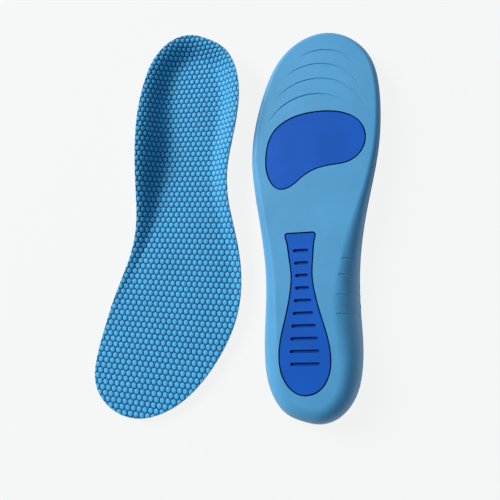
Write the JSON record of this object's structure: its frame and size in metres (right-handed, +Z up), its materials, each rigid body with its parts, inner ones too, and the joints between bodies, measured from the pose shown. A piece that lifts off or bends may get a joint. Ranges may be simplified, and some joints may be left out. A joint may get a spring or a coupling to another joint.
{
  "type": "pair of cushioned shoe insoles",
  "caption": "Pair of full-length cushioned shoe insoles, one face up and one sole up, with honeycomb top cover, heel cup, arch support, gel forefoot pad and slotted gel heel insert.",
  "frame": {"origin": "centre of the pair's bounding box at the ground", "axes": "+Z up, +Y away from the viewer along the insoles, +X to the right, with the left insole at -X"},
  "size_m": [0.204, 0.2756, 0.0262],
  "materials": {
    "cover": "honeycomb-embossed textile",
    "foam": "soft open-cell foam, matte",
    "base": "moulded soft polymer, satin",
    "gel": "soft gel, smooth, slightly glossy"
  },
  "bodies": {
    "left_insole": {"left_top_cover": "cover", "left_cushion_foam": "foam", "left_moulded_base": "base", "left_forefoot_gel_pad": "gel", "left_heel_gel_insert": "gel"},
    "right_insole": {"right_top_cover": "cover", "right_cushion_foam": "foam", "right_moulded_base": "base", "right_forefoot_gel_pad": "gel", "right_heel_gel_insert": "gel"}
  },
  "joints": [
    {"name": "right_insole_lift", "type": "slide", "parent": "left_insole", "child": "right_insole", "axis": [0, 0, 1], "range_m": [0, 0.1]}
  ]
}
